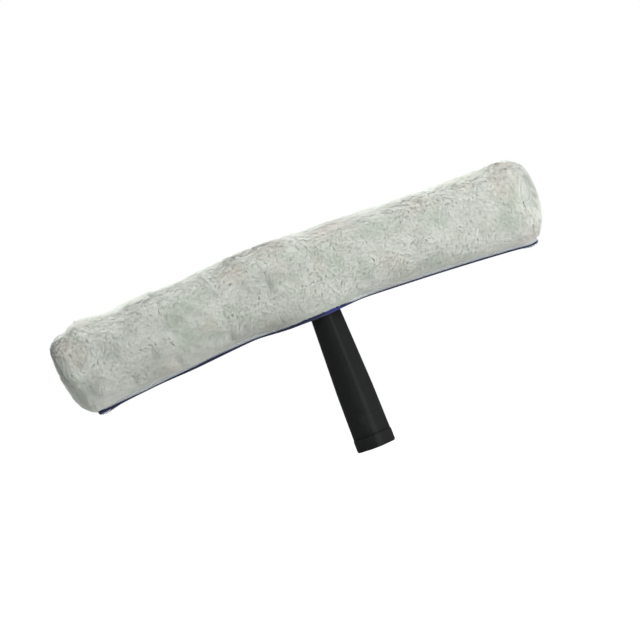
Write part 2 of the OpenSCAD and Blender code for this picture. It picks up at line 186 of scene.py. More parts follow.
def swept(name, paths, radii, sides, reference, tint, flat=1.0):
    """Closed tubes along many paths of equal counts of points, each drawn to a point at its last one.

    An edge of each tube looks away from reference, and flat is its depth as a share of its width.
    """
    n, stations = paths.shape[:2]
    rings = stations - 1
    along = unit(np.gradient(paths, axis=1))
    across = unit(np.cross(along, np.broadcast_to(reference, paths.shape)))
    inward = np.cross(along, across)
    turn = math.pi / 2 + TURN * np.arange(sides) / sides
    size = np.broadcast_to(radii, (n, stations))[:, :rings, None, None]
    wide = np.cos(turn)[:, None] * across[:, :rings, None]
    deep = flat * np.sin(turn)[:, None] * inward[:, :rings, None]
    ring = paths[:, :rings, None] + size * (wide + deep)
    each = rings * sides + 1
    points = np.concatenate([ring.reshape(n, rings * sides, 3), paths[:, -1:]], 1)
    tube = grid_quads(rings, sides, wrap=True)[:, ::-1]
    after = (np.arange(sides) + 1) % sides
    last = (rings - 1) * sides
    tip = np.stack([np.full(sides, each - 1), last + after, last + np.arange(sides)], -1)
    cap = np.array([(s, s + 1, 0) for s in range(1, sides - 1)])
    tris = np.vstack([tip[:, ::-1], cap])
    step = np.arange(n)[:, None, None] * each
    ob = mesh_piece(name, points.reshape(-1, 3), tube + step, tris + step)
    shade = np.broadcast_to(tint, (n, stations))
    put_attribute(ob, "tint", np.hstack([np.repeat(shade[:, :rings], sides, 1), shade[:, -1:]]))
    # Each tube has a square of the map for baking, with its sides below, its tip above and its end lowest
    cells = math.ceil(math.sqrt(n))
    row, column = np.divmod(np.arange(rings * sides), sides)
    left = column[tube] / sides
    left[:, :2] = np.where(left[:, :2] == 0, 1.0, left[:, :2])
    tube_uv = np.stack([0.05 + 0.9 * left, 0.14 + 0.6 * row[tube] / max(rings - 1, 1)], -1)
    low = 0.05 + 0.9 * np.arange(sides) / sides
    spots = ((0.0, 0.76), (0.9, 0.76), (0.45, 0.96))
    tip_uv = np.stack([np.column_stack([low + u / sides, np.full(sides, v)]) for u, v in spots], 1)
    cap_uv = np.tile([[0.2, 0.02], [0.5, 0.1], [0.8, 0.02]], (len(cap), 1, 1))
    cell = np.stack(np.divmod(np.arange(n), cells), -1)[:, ::-1][:, None, None]
    faces = (tube_uv, np.concatenate([tip_uv, cap_uv]))
    put_map(ob, np.concatenate([((cell + spots) / cells).reshape(-1, 2) for spots in faces]))
    return ob


def slab(name, outer, inner, tint=None):
    """A closed solid between two grids of the same size, outer on the side that rows x columns face."""
    rows, columns = outer.shape[:2]
    n = rows * columns
    skin = grid_quads(rows, columns)
    quads, corners = [skin, skin[:, ::-1] + n], []
    v, u = np.meshgrid(np.linspace(0.04, 0.96, rows), np.linspace(0.01, 0.48, columns), indexing="ij")
    flat = np.stack([u, v], -1).reshape(-1, 2)
    corners += [flat[skin], flat[skin[:, ::-1]] + [0.51, 0]]
    for k, (start, stride, count, flip) in enumerate((
        (0, columns, rows, False), (columns - 1, columns, rows, True),
        (0, 1, columns, True), ((rows - 1) * columns, 1, columns, False),
    )):
        i = start + stride * np.arange(count - 1)
        face = np.stack([i, i + n, i + n + stride, i + stride], -1)
        a, low = np.arange(count - 1) / (count - 1), (0.004, 0.016, 0.972, 0.986)[k]
        b, high = a + 1 / (count - 1), low + 0.009
        spots = ((a, low), (a, high), (b, high), (b, low))
        spot = np.stack([np.column_stack([p, np.full(count - 1, q)]) for p, q in spots], 1)
        quads.append(face[:, ::-1] if flip else face)
        corners.append(spot[:, ::-1] if flip else spot)
    ob = mesh_piece(name, np.vstack([outer.reshape(-1, 3), inner.reshape(-1, 3)]), np.vstack(quads))
    put_map(ob, np.concatenate(corners).reshape(-1, 2))
    if tint is not None:
        put_attribute(ob, "tint", np.clip(np.concatenate([np.asarray(tint).ravel(), np.full(n, 0.3)]), 0, 1))
    return ob


# Materials
class Nodes:
    """Short calls that add shader nodes to a tree."""

    def __init__(self, tree):
        self.tree = tree

    def node(self, kind, values=(), **links):
        made = self.tree.nodes.new(kind)
        for key, value in dict(values).items():
            setattr(made, key, value)
        for socket, value in links.items():
            self.feed(made.inputs[int(socket[1:]) if socket[0] == "_" else socket.replace("_", " ")], value)
        return made

    def feed(self, socket, value):
        if isinstance(value, bpy.types.NodeSocket):
            self.tree.links.new(value, socket)
        else:
            socket.default_value = value

    def math(self, operation, *values):
        links = {f"_{k}": value for k, value in enumerate(values)}
        return self.node("ShaderNodeMath", {"operation": operation}, **links).outputs[0]

    def ramp(self, value, low, high, to_low=0.0, to_high=1.0):
        return self.node("ShaderNodeMapRange", _0=value, _1=low, _2=high, _3=to_low, _4=to_high).outputs[0]


class Maker(Nodes):
    """A material with one Principled shader, and short calls for the nodes that feed it."""

    def __init__(self, name):
        self.material = bpy.data.materials.new(name)
        self.material.use_nodes = True
        super().__init__(self.material.node_tree)
        self.place = self.node("ShaderNodeTexCoord").outputs["Object"]

    def finish(self, **values):
        """The material, with these values fed to its shader."""
        for socket, value in values.items():
            self.feed(self.tree.nodes["Principled BSDF"].inputs[socket.replace("_", " ")], value)
        return self.material

    def noise(self, scale, detail=2.0, stretch=None):
        place = self.place
        if stretch:
            place = self.node("ShaderNodeMapping", Vector=place, Scale=stretch).outputs[0]
        return self.node("ShaderNodeTexNoise", Vector=place, Scale=scale, Detail=detail).outputs["Fac"]

    def mix(self, factor, a, b):
        return self.node("ShaderNodeMix", {"data_type": "RGBA"}, _0=factor, _6=a, _7=b).outputs[2]

    def bump(self, height, distance, strength, **below):
        made = self.node("ShaderNodeBump", Height=height, Distance=distance, Strength=strength, **below)
        return made.outputs[0]

    def attribute(self, name):
        return self.node("ShaderNodeAttribute", {"attribute_name": name}).outputs["Fac"]


def rgb(r, g, b):
    """Linear colour from 8-bit sRGB."""
    values = [c / 255 for c in (r, g, b)]
    return (*[c / 12.92 if c <= 0.04045 else ((c + 0.055) / 1.055) ** 2.4 for c in values], 1.0)


def moulded_plastic(name, dark, light, edge_tone=None):
    """Black moulded plastic: fine spark grain, faint flow marks, duller rubbed places, and a lighter tone along
    its rounded edges.
    """
    m = Maker(name)
    rubbed = m.ramp(m.noise(95, 4.0), 0.42, 0.7)
    colour = m.mix(m.noise(28, 3.0, stretch=(1, 1, 0.35)), dark, light)
    if edge_tone is not None:
        # A lighter tone along the rounded edges, in patches of the rubbed noise.
        colour = m.mix(m.math("MULTIPLY", m.attribute("edge"), rubbed), colour, edge_tone)
    waves = m.bump(m.noise(120), 0.0002, 0.1)
    return m.finish(
        Base_Color=colour, Roughness=m.ramp(rubbed, 0, 1, 0.5, 0.6), Specular_IOR_Level=0.12,
        Normal=m.bump(m.noise(2600), 0.00004, 0.5, Normal=waves),
    )


def steel():
    m = Maker("screw_steel")
    return m.finish(
        Metallic=1.0, Base_Color=m.mix(m.noise(600), rgb(150, 150, 152), rgb(190, 190, 190)),
        Roughness=m.ramp(m.noise(900, 3.0), 0.3, 0.7, 0.25, 0.45),
        Normal=m.bump(m.noise(2500), 0.00002, 0.4),
    )


def fleece(name, root, tip, mottle, warm):
    """White synthetic pile: tint runs from a strand's root, darker with painted shade deep in the pile, to its
    tip, under mottles and patches of painted shade.
    """
    m = Maker(name)
    colour = m.mix(m.attribute("tint"), root, tip)
    colour = m.mix(m.ramp(m.noise(55, 3.0), 0.45, 0.72, 0, MOTTLE_DEPTH), colour, mottle)
    colour = m.mix(m.ramp(m.noise(38), 0.55, 0.75, 0, MOTTLE_DEPTH), colour, warm)
    colour = m.mix(m.ramp(m.noise(240, 3.0), 0.5, 0.8, 0, 0.35), colour, root)
    return m.finish(
        Base_Color=m.mix(m.attribute("painted_shade"), colour, PAINTED_SHADE_COLOUR), Roughness=0.92, Specular_IOR_Level=0.2,
        Sheen_Weight=0.4, Sheen_Roughness=0.6, Normal=m.bump(m.noise(1500, 3.0), 0.0003, 0.6),
    )


def thread(name, dark, light, pale, bright):
    """Sewing thread: pale where tint is 0, its own plied colour halfway, and bright where tint is 1."""
    m = Maker(name)
    colour = m.mix(m.ramp(m.noise(1300), 0.3, 0.7), dark, light)
    tint = m.attribute("tint")
    colour = m.mix(m.ramp(tint, 0.05, 0.4), pale, colour)
    return m.finish(
        Base_Color=m.mix(m.ramp(tint, 0.55, 1.0), colour, bright), Roughness=0.62, Specular_IOR_Level=0.35,
        Sheen_Weight=0.2, Normal=m.bump(m.noise(2800), 0.0001, 0.6),
    )


def knit(name, dark, light, pitch=700.0):
    """Knitted backing cloth: rows of small stitches, slightly uneven in colour."""
    m = Maker(name)

    def wave(direction, scale):
        look = {"Scale": scale, "Distortion": 1.5, "Detail": 1.0}
        made = m.node("ShaderNodeTexWave", {"bands_direction": direction}, Vector=m.place, **look)
        return made.outputs["Fac"]

    stitch = m.math("MULTIPLY", wave("X", pitch), wave("Z", 0.8 * pitch))
    colour = m.mix(stitch, dark, light)
    return m.finish(
        Base_Color=m.mix(m.ramp(m.noise(70, 3.0), 0.4, 0.7, 0, 0.4), colour, dark), Roughness=0.85,
        Specular_IOR_Level=0.25, Sheen_Weight=0.2, Normal=m.bump(stitch, 0.0002, 0.7),
    )


GRIP_PLASTIC = moulded_plastic("grip_plastic", rgb(19, 20, 20), rgb(27, 28, 28), rgb(32, 33, 33))
BAR_PLASTIC = moulded_plastic("bar_plastic", rgb(34, 35, 36), rgb(46, 47, 48))
CORE_PLASTIC = moulded_plastic("core_plastic", rgb(66, 68, 70), rgb(88, 90, 92))
STEEL = steel()
# Colour of the painted shade on the pile's front, in its darker patches and the bottoms of its dents.
PAINTED_SHADE_COLOUR = rgb(150, 156, 146)
MOTTLE_DEPTH = 0.8
PILE = fleece("pile_strands", rgb(218, 223, 214), rgb(230, 234, 226), rgb(198, 209, 194), rgb(226, 219, 208))
PILE_BASE = fleece(
    "pile_base", rgb(215, 220, 211), rgb(225, 230, 221), rgb(200, 210, 196), rgb(222, 216, 206)
)
HEM_THREAD = thread("hem_thread", rgb(16, 22, 50), rgb(32, 42, 88), rgb(220, 225, 227), rgb(38, 50, 140))
BACKING = knit("sleeve_backing", rgb(176, 184, 192), rgb(226, 230, 232))
HOOK_TAPE = knit("hook_tape_web", rgb(186, 194, 208), rgb(228, 232, 240), 1500.0)
LOOP_TAPE = knit("loop_tape_web", rgb(190, 196, 206), rgb(232, 234, 240), 1500.0)


def dress(ob, material, body=None, replaces=()):
    ob.data.materials.clear()
    ob.data.materials.append(material)
    if body:
        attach(ob, body)
    if replaces:
        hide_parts(*replaces)
    return ob


# Camera, lights and floor
LENS, SENSOR = 120.0, 36.0
PICTURE_WIDTH = 442.0
PICTURE_CENTRE = np.array([-5.0, 0.0, 95.6])
NEAR_CLIP, FAR_CLIP = 0.05, 50
FLOOR_HALF, FLOOR_Z = 9000, -460
TARGET_Z = 120


def rigid(axes, place):
    """A placement from three axes and a place in millimetres."""
    return Matrix([[*(axis[i] for axis in axes), place[i] * MM] for i in range(3)] + [[0, 0, 0, 1]])


def set_camera():
    """The photo looks square on to the front, rolled so that the bar rises to the right."""
    data = bpy.data.cameras.new("camera")
    data.lens, data.sensor_width = LENS, SENSOR
    right = np.array([math.cos(ROLL), 0, -math.sin(ROLL)])
    up = np.array([math.sin(ROLL), 0, math.cos(ROLL)])
    back = np.array([0.0, -1.0, 0.0])
    ob = bpy.data.objects.new("camera", data)
    ob.matrix_world = rigid((right, up, back), PICTURE_CENTRE + back * PICTURE_WIDTH / SENSOR * LENS)
    data.clip_start, data.clip_end = NEAR_CLIP, FAR_CLIP
    SCENE.collection.objects.link(ob)
    SCENE.camera = ob


def area_light(name, place, aim, size, power, tone):
    data = bpy.data.lights.new(name, "AREA")
    data.shape, data.size, data.energy, data.color = "DISK", size * MM, power, tone
    ob = bpy.data.objects.new(name, data)
    toward = unit(np.array(aim, float) - np.array(place, float))
    side = unit(np.cross(toward, [0.0, 0.0, 1.0]))
    upward = np.cross(side, toward)
    ob.matrix_world = rigid((side, upward, -toward), place)
    SCENE.collection.objects.link(ob)


def set_world():
    """A white background for what looks at it, and a dimmer room to light by, brighter on the right."""
    world = bpy.data.worlds.new("studio")
    world.use_nodes = True
    SCENE.world = world
    world.node_tree.nodes.clear()
    m = Nodes(world.node_tree)
    ray = m.node("ShaderNodeLightPath").outputs
    looks = m.math("MAXIMUM", ray["Is Camera Ray"], ray["Is Transmission Ray"])
    looks = m.math("MULTIPLY_ADD", ray["Is Glossy Ray"], 0.12, looks)
    toward = m.node("ShaderNodeTexCoord").outputs["Generated"]
    right = m.node("ShaderNodeSeparateXYZ", _0=toward).outputs["X"]
    light = m.ramp(right, -1.0, 1.0, 0.34, 0.6)
    room = m.node("ShaderNodeBackground", Color=(0.98, 1.0, 0.99, 1), Strength=light).outputs[0]
    white = m.node("ShaderNodeBackground", Color=(1, 1, 1, 1), Strength=1.0).outputs[0]
    both = m.node("ShaderNodeMixShader", _0=looks, _1=room, _2=white).outputs[0]
    m.node("ShaderNodeOutputWorld", Surface=both)


def set_floor():
    """A pale floor well below the tool, white to the camera where no shadow falls."""
    corners = [[x * FLOOR_HALF, y * FLOOR_HALF, FLOOR_Z] for x, y in ((-1, -1), (1, -1), (1, 1), (-1, 1))]
    floor = mesh_piece("floor", corners, [[0, 1, 2, 3]])
    m = Maker("floor_white")
    seen = m.node("ShaderNodeLightPath").outputs["Is Camera Ray"]
    reach = m.node("ShaderNodeVectorMath", {"operation": "LENGTH"}, _0=m.place).outputs["Value"]
    floor.data.materials.append(m.finish(
        Base_Color=m.ramp(seen, 0, 1, 0.45, 0.8), Roughness=0.9, Emission_Color=(1, 1, 1, 1),
        Emission_Strength=m.math("MULTIPLY", seen, m.ramp(reach, 0.7, 1.7, 0.3, 0.72)),
    ))


set_camera()
set_world()
set_floor()
area_light("key", (840, -760, 900), (20, 0, TARGET_Z), 900, 5.0, (1.0, 1.0, 0.98))
area_light("side", (640, -640, 60), (40, 0, 110), 1000, 7.2, (1.0, 1.0, 0.99))
area_light("fill", (-1150, -500, 260), (-60, 0, TARGET_Z), 900, 2.4, (0.97, 0.99, 1.0))
area_light("top", (-60, 120, 1100), (0, 0, TARGET_Z), 900, 9.2, (1.0, 1.0, 1.0))
area_light("back", (-500, 900, 500), (0, 0, TARGET_Z), 800, 5.0, (1.0, 1.0, 1.0))


# Handle and collar
SOCKET_RADIUS, SOCKET_DEPTH = 9.3, 42.0
CORE_RADIUS, CORE_TOP = 6.0, 109.8
SEAT_RADIUS = 10.85
GRIP_TOP, GRIP_FLAT = 123.8, 0.24
GRIP_LINES = ((23.2, False), (SOCKET_DEPTH, True))
LINE_DEPTH, LINE_HALF = 0.3, 0.7
SADDLE_HALF, RIB_HALF, RIB_LOW, RIB_HIGH = 30.0, 1.5, 105.5, 122.4
SCREW_X, BOSS_RADIUS, BOSS_LOW, BOSS_HIGH, BOSS_SIDES = 16.0, 4.5, 109.3, 122.5, 32


def eight_faces(width, rounding):
    """Points of the grip's outline, with each of its eight edges rounded, and 1 on the edges."""
    half = width / 2
    flat = GRIP_FLAT * half
    eight = np.array([
        [flat, -half], [half, -flat], [half, flat], [flat, half],
        [-flat, half], [-half, flat], [-half, -flat], [-flat, -half],
    ])
    points, edge = [], []
    for i, at in enumerate(eight):
        before, after = eight[i - 1], eight[(i + 1) % 8]
        a = at + rounding * unit(before - at)
        b = at + rounding * unit(after - at)
        points.append(at + 1.25 * (a - at))
        edge.append(0)
        for t in np.linspace(0, 1, 6):
            points.append((1 - t) ** 2 * a + 2 * t * (1 - t) * at + t * t * b)
            edge.append(1)
        points.append(at + 1.25 * (b - at))
        edge.append(0)
    return np.array(points), np.array(edge, float)


def stacked(name, rings, edges=0.0, hollow=False):
    """A skin through rings of points, closed at both ends or, if hollow, from its last ring to its first."""
    rings = np.array(rings)
    n, count = rings.shape[:2]
    points = rings.reshape(-1, 3)
    quads, tris = grid_quads(n, count, wrap=True)[:, ::-1], ()
    first, after = np.arange(count), np.roll(np.arange(count), -1)
    last = (n - 1) * count
    if hollow:
        quads = np.vstack([quads, np.stack([last + first, last + after, after, first], -1)])
    else:
        points = np.vstack([points, rings[0].mean(0), rings[-1].mean(0)])
        tris = np.vstack([fan(first, n * count, flip=True), fan(last + first, n * count + 1)])
    ob = mesh_piece(name, points, quads, tris)
    edge = np.zeros(len(points))
    edge[: n * count] = np.broadcast_to(edges, (n, count)).ravel()
    put_attribute(ob, "edge", edge)
    return ob


def joined(name, *parts):
    """One object from several, which keep their own shells and take a tile each of the map for baking."""
    tiles = math.ceil(math.sqrt(len(parts)))
    for k, part in enumerate(parts):
        layer = part.data.uv_layers.get("OFBake")
        if layer:
            spots = np.empty(2 * len(part.data.loops), np.float32)
            layer.data.foreach_get("uv", spots)
            spots = (spots.reshape(-1, 2) * 0.98 + 0.01 + np.divmod(k, tiles)[::-1]) / tiles
            layer.data.foreach_set("uv", spots.astype(np.float32).ravel())
    bpy.ops.object.select_all(action="DESELECT")
    for part in parts:
        part.select_set(True)
    bpy.context.view_layer.objects.active = parts[0]
    bpy.ops.object.join()
    parts[0].name = parts[0].data.name = name
    return parts[0]


def at(outline, z):
    return xyz(*outline.T, z)


def circle_like(outline, radius):
    return radius * unit(outline)


def nicked(outline, width, z):
    """The grip's outline at z, drawn in on its chamfers where a fine line crosses them."""
    across = np.abs(outline[:, 0] * outline[:, 1]) / (width / 2) ** 2
    chamfer = smooth((across - 0.22) / 0.06)
    depth = 0 * chamfer
    for height, right_only in GRIP_LINES:
        sides = chamfer * (outline[:, 0] > 0) if right_only else chamfer
        depth = depth + LINE_DEPTH * sides * max(0.0, 1 - abs(z - height) / LINE_HALF)
    return outline * (1 - depth / (width / 2))[:, None]


def grip():
    """The grip's tapered outside, with its socket and hollow core as one skin that ends inside the top."""
    heights = [COLLAR_LENGTH, SOCKET_DEPTH, 98.9, GRIP_TOP]
    widths = [26.9, 25.9, 21.6, 21.6]
    near_lines = {round(z + d, 2) for z, _ in GRIP_LINES for d in (-0.9, -0.7, -0.35, 0, 0.35, 0.7, 0.9)}
    levels = sorted(set(np.round(np.linspace(9.0, GRIP_TOP, 40), 2)) | near_lines)
    first, mask = eight_faces(widths[0], 2.2)
    core = [(CORE_RADIUS, z) for z in (CORE_TOP, 80.0, SOCKET_DEPTH)]
    socket = [(SOCKET_RADIUS, z) for z in (SOCKET_DEPTH, SOCKET_DEPTH / 2, 0.0)]
    seat = [(SEAT_RADIUS, z) for z in (0.0, 0.4, COLLAR_LENGTH - 0.6)]
    rings = [at(circle_like(first, r), z) for r, z in core + socket + seat]
    edges = [mask * 0] * len(rings)
    for z in levels:
        width = np.interp(z, heights, widths)
        outline, mask = eight_faces(width, between(2.6, 1.7, float(smooth((z - 9) / 50))))
        rings.append(at(nicked(outline, width, z), z))
        edges.append(mask * (0.55 + 0.45 * float(smooth(1 - abs(z - 20) / 30))))
    rings.append(at(circle_like(first, 0.5), GRIP_TOP))
    edges.append(mask * 0)
    return stacked("grip_shell", rings, edges)


def round_box(width, height, radius, centre_z):
    """Points of a box with round corners, in Y and Z."""
    points = []
    for sy, sz, start in ((1, 1, 0), (-1, 1, 90), (-1, -1, 180), (1, -1, 270)):
        for a in np.radians(start + np.linspace(0, 90, 8)):
            points.append([
                sy * (width / 2 - radius) + radius * math.cos(a),
                centre_z + sz * (height / 2 - radius) + radius * math.sin(a),
            ])
    return np.array(points)


def saddle_parts():
    """The cradle under the bar, its rib and its two screw bosses."""
    outside = round_box(25.0, 27.0, 5.0, BAR_AXIS)
    inside = round_box(20.4, 22.4, 5.2, BAR_AXIS)
    low_out = outside[outside[:, 1] <= BAR_AXIS]
    low_in = inside[inside[:, 1] <= BAR_AXIS]
    centre = np.array([0.0, BAR_AXIS])
    strip = []
    for x in (SADDLE_HALF, SADDLE_HALF - 0.5, 0.0, 0.5 - SADDLE_HALF, -SADDLE_HALF):
        ease = 0.35 if abs(x) == SADDLE_HALF else 0.0
        level = BAR_AXIS - ease
        loop = np.vstack([
            [[-12.5 + ease, level]], centre + (low_out - centre) * (1 - ease / 13),
            [[12.5 - ease, level]], [[10.2 + ease, level]],
            centre + (low_in[::-1] - centre) * (1 + ease / 13), [[-10.2 - ease, level]],
        ])
        strip.append(xyz(x, *loop.T))
    outline = np.array([[-SADDLE_HALF, RIB_HIGH], [0.0, RIB_LOW], [SADDLE_HALF, RIB_HIGH]])
    middle = outline.mean(0)
    rib = []
    for y, ease in ((-RIB_HALF, 0.4), (0.4 - RIB_HALF, 0.0), (RIB_HALF - 0.4, 0.0), (RIB_HALF, 0.4)):
        o = middle + (outline - middle) * (1 - ease / 12)
        rib.append(xyz(o[:, 0], y, o[:, 1]))
    parts = [stacked("cradle", strip), stacked("rib", rib)]
    turn = np.linspace(0, TURN, BOSS_SIDES, endpoint=False)
    profile = ((BOSS_RADIUS - 0.6, BOSS_LOW), (BOSS_RADIUS, BOSS_LOW + 0.6), (BOSS_RADIUS, BOSS_HIGH))
    for x in (-SCREW_X, SCREW_X):
        rings = [xyz(x + r * np.cos(turn), r * np.sin(turn), z) for r, z in profile]
        parts.append(stacked("boss", rings))
    return parts


def collar():
    """The ring round the socket's mouth, with an eased lip and a fine step where the grip begins."""
    profile = [  # width across the flats and height, from the grip down round the lip
        (26.6, COLLAR_LENGTH + 0.05), (27.3, COLLAR_LENGTH), (27.62, COLLAR_LENGTH - 0.2),
        (27.7, COLLAR_LENGTH - 0.6), (27.7, 5.0), (27.7, 1.5), (27.5, 0.8), (27.0, 0.3), (26.3, 0.06),
        (25.6, 0.0),
    ]
    rings, edges = [], []
    for width, z in profile:
        outline, mask = eight_faces(width, 2.7)
        rings.append(at(outline, z))
        edges.append(mask * 0.8 if z < 2 or z > 8 else mask * 0.5)
    for z in (0.0, 0.5, COLLAR_LENGTH):
        rings.append(at(circle_like(outline, SEAT_RADIUS + 0.1), z))
        edges.append(mask * 0)
    return stacked("socket_collar", rings[::-1], edges[::-1], hollow=True)


handle = joined("grip_and_saddle", grip(), *saddle_parts())
dress(handle, GRIP_PLASTIC, "t_bar", ["handle"])
dress(collar(), GRIP_PLASTIC, "t_bar", ["end_collar"])
for node in ("cross_bar", "left_end_plug", "right_end_plug"):
    dress(NODES[node], BAR_PLASTIC)
dress(NODES["core_block"], CORE_PLASTIC)
dress(NODES["fixing_screws"], STEEL)


# The sleeve's outside
END_RISE = {"left": 136.8, "right": 126.0}
TOP_LINE = line([
    (-190, 147.6), (-178, 148.4), (-165, 157.0), (-152, 153.8), (-138, 153.2), (-116, 156.8), (-94, 155.8),
    (-72, 155.8), (-50, 158.8), (-25, 159.8), (0, 158.0), (28, 157.0), (55, 155.6), (83, 154.6), (94, 152.9),
    (116, 152.8), (138, 153.8), (152, 152.8), (175, 152.6),
])
HEM_LINE = line([
    (-185, 90.4), (-166, 89.0), (-152, 91.6), (-124, 94.1), (-97, 95.2), (-69, 97.6), (-50, 99.0),
    (-28, 97.0), (0, 97.0), (28, 99.0), (55, 97.5), (83, 95.9), (110, 94.0), (138, 91.7), (149, 90.3),
    (170, 88.0),
], 4.0)
HEM_WEIGHT = line([
    (-165, 2.6), (-150, 1.2), (-134, 0.5), (-112, 1.2), (-85, 2.0), (-50, 0.95), (-26, 1.8), (-10, 2.4),
    (6, 3.6), (14, 2.0), (24, 0.4), (45, 1.0), (150, 1.1),
], 3.0)
DENTS = [  # x and z on the front, half width, half height and depth
    (-170, 125, 3.0, 6.0, 1.0), (-168, 107, 3.0, 6.0, 1.3), (-120, 118, 2.6, 7.0, 0.8),
    (-138, 104, 2.6, 5.0, 0.9), (-105, 105, 2.2, 4.5, 0.8), (-65, 107, 2.0, 4.5, 1.0),
    (-30, 131, 2.4, 6.0, 0.7), (72, 122, 2.4, 6.0, 0.6), (118, 112, 2.2, 5.0, 0.6), (140, 138, 2.4, 5.0, 0.6),
]
# Patches of painted shade on the front of the pile.
PAINTED_SHADE_PATCHES = [  # x and z on the front, half width, half height and how dark
    (-50, 101, 26, 11, 0.5), (-166, 109, 7, 9, 0.26), (-120, 116, 9, 9, 0.14), (-92, 108, 6, 7, 0.2),
    (-138, 106, 5, 7, 0.16), (-62, 119, 4, 9, 0.14), (-104, 137, 8, 6, 0.1), (-30, 136, 7, 6, 0.1),
    (66, 112, 8, 6, 0.12), (118, 124, 10, 7, 0.1), (147, 146, 5, 5, 0.2), (92, 146, 12, 4, 0.1),
    (20, 148, 14, 3, 0.1),
]
DARKEST = 0.8
PILE_HALF = 25.2
LEFT_REACH, RIGHT_REACH = 23.0, 22.0
BASE_DEPTH, CLOTH = 1.4, 0.5
END_THICKNESS = 4.0
PILE_START = 1.25
STRIP_HEIGHT = 3.0
SLACK_FROM, CREASE_X, CREASE_HALF, CREASE_DEPTH = -150, -172.5, 4.5, 1.1
ROW_STEP, END_ROWS = 1.3, 22
TOP_POWER = {"left": 4.2, "right": 2.6}
LOW_POWER = {"left": 2.4, "right": 1.9}
HEM_POWER = {"left": 2.4, "right": 2.6}


def inside_at(x):
    """Half gap between the closed flaps: wide at the handle and a tape's thickness elsewhere."""
    return CLOSED_HALF + (PARTED_HALF - CLOSED_HALF) * smooth((PART_END - abs(x)) / (PART_END - PART_FULL))


def bound_at(x, past=5, fade=6):
    """1 along the hem, and 0 past its ends, where the two flaps' corners are sewn together."""
    return smooth(np.minimum(x - HEM_LEFT + past, HEM_RIGHT + past - x) / fade)


def end_middle(x):
    """Height to which the sleeve's cloth gathers at its left and right tips."""
    return between(END_RISE["left"], END_RISE["right"], smooth((x + 100) / 180))


def end_rows(end, inward, reach, power):
    """Places from a sleeve's end inwards, and how full the sleeve is at each."""
    angle = np.radians(np.linspace(89.97, 0.0, END_ROWS, endpoint=False))
    into, full = np.sin(angle) ** (2 / power), np.cos(angle) ** (2 / power)
    return end + inward * reach * (1 - into), full


def low_full_at(x, powers=LOW_POWER):
    """How full the sleeve's lower half is at x: 1 along the bar, down to 0 at its two ends."""
    into = np.maximum(1 - (x - SLEEVE_LEFT) / LEFT_REACH, 1 - (SLEEVE_RIGHT - x) / RIGHT_REACH)
    power = np.where(x < 0, powers["left"], powers["right"])
    return (1 - np.clip(into, 0, 1) ** power) ** (1 / power)


def hem_low(x):
    """Height of the bound edge's lowest line, which climbs at both ends with the gathered cloth."""
    return between(end_middle(x), HEM_LINE(x), low_full_at(x, HEM_POWER))


def sleeve_rows():
    """Places along the sleeve, with how full its upper part and its lower part are at each."""
    left_x, left_full = end_rows(SLEEVE_LEFT, 1, LEFT_REACH, TOP_POWER["left"])
    right_x, right_full = end_rows(SLEEVE_RIGHT, -1, RIGHT_REACH, TOP_POWER["right"])
    first, last = SLEEVE_LEFT + LEFT_REACH, SLEEVE_RIGHT - RIGHT_REACH
    middle = np.linspace(first, last, int((last - first) / ROW_STEP))
    x = np.concatenate([left_x, middle, right_x[::-1]])
    return x, np.concatenate([left_full, np.ones(len(middle)), right_full[::-1]]), low_full_at(x)


def outside(x, full, low_full, phi):
    """Points of the pile's outside, where phi goes round from the front hem over the top to the rear hem.

    It is -90 at the front hem, 0 and 180 at the hinge lines, 90 on top and 270 at the rear hem.
    """
    side = np.where(phi < 90, -1.0, 1.0)
    turn = np.radians(np.where(phi < 90, phi, 180 - phi))
    cos, sin = np.maximum(np.cos(turn), 0), np.sin(turn)
    middle = end_middle(x)
    half = PILE_HALF * full
    hinge = between(middle, HINGE_Z, full)
    top = between(middle, TOP_LINE(x), full)
    hem_top = HEM_LINE(x) + STRIP_HEIGHT * bound_at(x, 3, 5)
    low = between(middle, hem_top, low_full)
    edge = between(0.6, inside_at(x) + EDGE_THICKNESS, bound_at(x)) * full
    y_body, z_body = half * cos**0.8, hinge + (top - hinge) * np.abs(sin) ** 0.8
    y_flap, z_flap = edge + (half - edge) * cos, hinge - (hinge - low) * np.abs(sin)
    y, z = np.where(turn >= 0, (y_body, z_body), (y_flap, z_flap))
    return xyz(x, side * y, z)


def grid_normals(points):
    return unit(np.cross(np.gradient(points, axis=0), np.gradient(points, axis=1)))


def spot(points, x, z, half_width, half_height):
    """1 at a place on the front, down to 0 round it."""
    return np.exp(-(((points[..., 0] - x) / half_width) ** 2 + ((points[..., 2] - z) / half_height) ** 2))


def lumps(points, phi):
    """How far the felted pile stands out or sinks in, slack and lumpier at the left end."""
    height = 0.75 * noise(points, 26, 1) + 0.48 * noise(points, 12, 2) + 0.22 * noise(points, 6, 3)
    height *= 1 + 0.7 * smooth((SLACK_FROM - points[..., 0]) / 25)
    crease = np.exp(-(((points[..., 0] - CREASE_X) / CREASE_HALF) ** 2))
    height = height - CREASE_DEPTH * crease * smooth((phi - 20) / 50) * smooth((200 - phi) / 60)
    for *place, depth in DENTS:
        height = height - np.where(phi < 80, depth * spot(points, *place), 0.0)
    return height


def painted_shade_at(points):
    """How much shade is painted on the front's pile at points: its patches, and the bottoms of its dents."""
    dark = np.zeros(points.shape[:-1])
    for *place, shade in PAINTED_SHADE_PATCHES + [(*dent[:4], 0.1 * dent[4]) for dent in DENTS]:
        dark = dark + shade * spot(points, *place)
    ragged = 1 + 0.5 * noise(points, 7, 8) + 0.35 * noise(points, 3, 9)
    return np.where(points[..., 1] < 0, np.clip(dark * ragged, 0, DARKEST), 0)


def skin_normals(points):
    """Outward normals of the pile's outside, turned along the bar where the cloth gathers at its tips."""
    own = smooth(ROW_LOW / 0.4)[:, None, None]
    along = np.sign(ROW_X)[:, None, None] * [1.0, 0.0, 0.0]
    return unit(grid_normals(points) * own + along * (1 - own))


